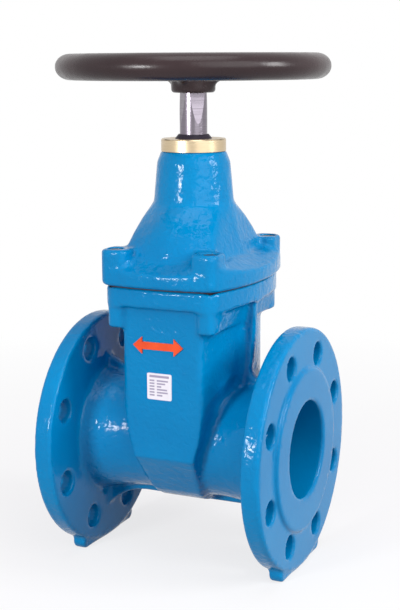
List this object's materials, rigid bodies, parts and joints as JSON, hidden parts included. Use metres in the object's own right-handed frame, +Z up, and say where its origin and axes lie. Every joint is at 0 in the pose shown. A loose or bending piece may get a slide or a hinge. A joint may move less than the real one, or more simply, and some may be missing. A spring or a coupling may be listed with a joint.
{
  "type": "gate valve",
  "caption": "Flanged gate valve with a non-rising stem: cast body on two feet, rectangular bonnet, brass gland and a handwheel that drives a wedge inside.",
  "frame": {"origin": "on the floor, under the middle of the body, on the stem's axis", "axes": "+X along the pipe, +Z up along the stem, +Y square to both"},
  "size_m": [0.222, 0.222, 0.42],
  "materials": {
    "casting_paint": "glossy blue epoxy over a cast skin",
    "gasket_rubber": "matt black",
    "screw_steel": "plain zinc-grey steel",
    "seal_wax": "dull dark plug",
    "gland_brass": "turned brass, satin",
    "wiper_rubber": "black rubber",
    "stem_steel": "turned and polished stainless steel",
    "wheel_iron": "dark brown-black satin coating over cast iron",
    "wedge_rubber": "black moulded rubber",
    "label_white": "plain white film",
    "mark_orange": "plain orange enamel"
  },
  "bodies": {
    "valve": {"valve_body": "casting_paint", "bonnet_gasket": "gasket_rubber", "bonnet": "casting_paint", "bonnet_screw_1": "screw_steel", "bonnet_screw_2": "screw_steel", "bonnet_screw_3": "screw_steel", "bonnet_screw_4": "screw_steel", "screw_seal_1": "seal_wax", "screw_seal_2": "seal_wax", "screw_seal_3": "seal_wax", "screw_seal_4": "seal_wax", "gland_bush": "gland_brass", "wiper_ring": "wiper_rubber", "label_plate": "label_white", "flow_mark": "mark_orange"},
    "stem": {"stem": "stem_steel", "handwheel": "wheel_iron", "wheel_washer": "screw_steel", "wheel_screw": "screw_steel"},
    "wedge": {"wedge": "wedge_rubber", "wedge_nut": "gland_brass"}
  },
  "joints": [
    {"name": "stem_turn", "type": "hinge", "parent": "valve", "child": "stem", "pos_m": [0, 0, 0.31], "axis": [0, 0, 1], "range_deg": [-6120, 0]},
    {"name": "wedge_travel", "type": "slide", "parent": "valve", "child": "wedge", "axis": [0, 0, 1], "range_m": [-0.085, 0]}
  ],
  "couplings": [
    {"joint": "wedge_travel", "follows": "stem_turn", "m_per_rad": 0.00079577}
  ]
}
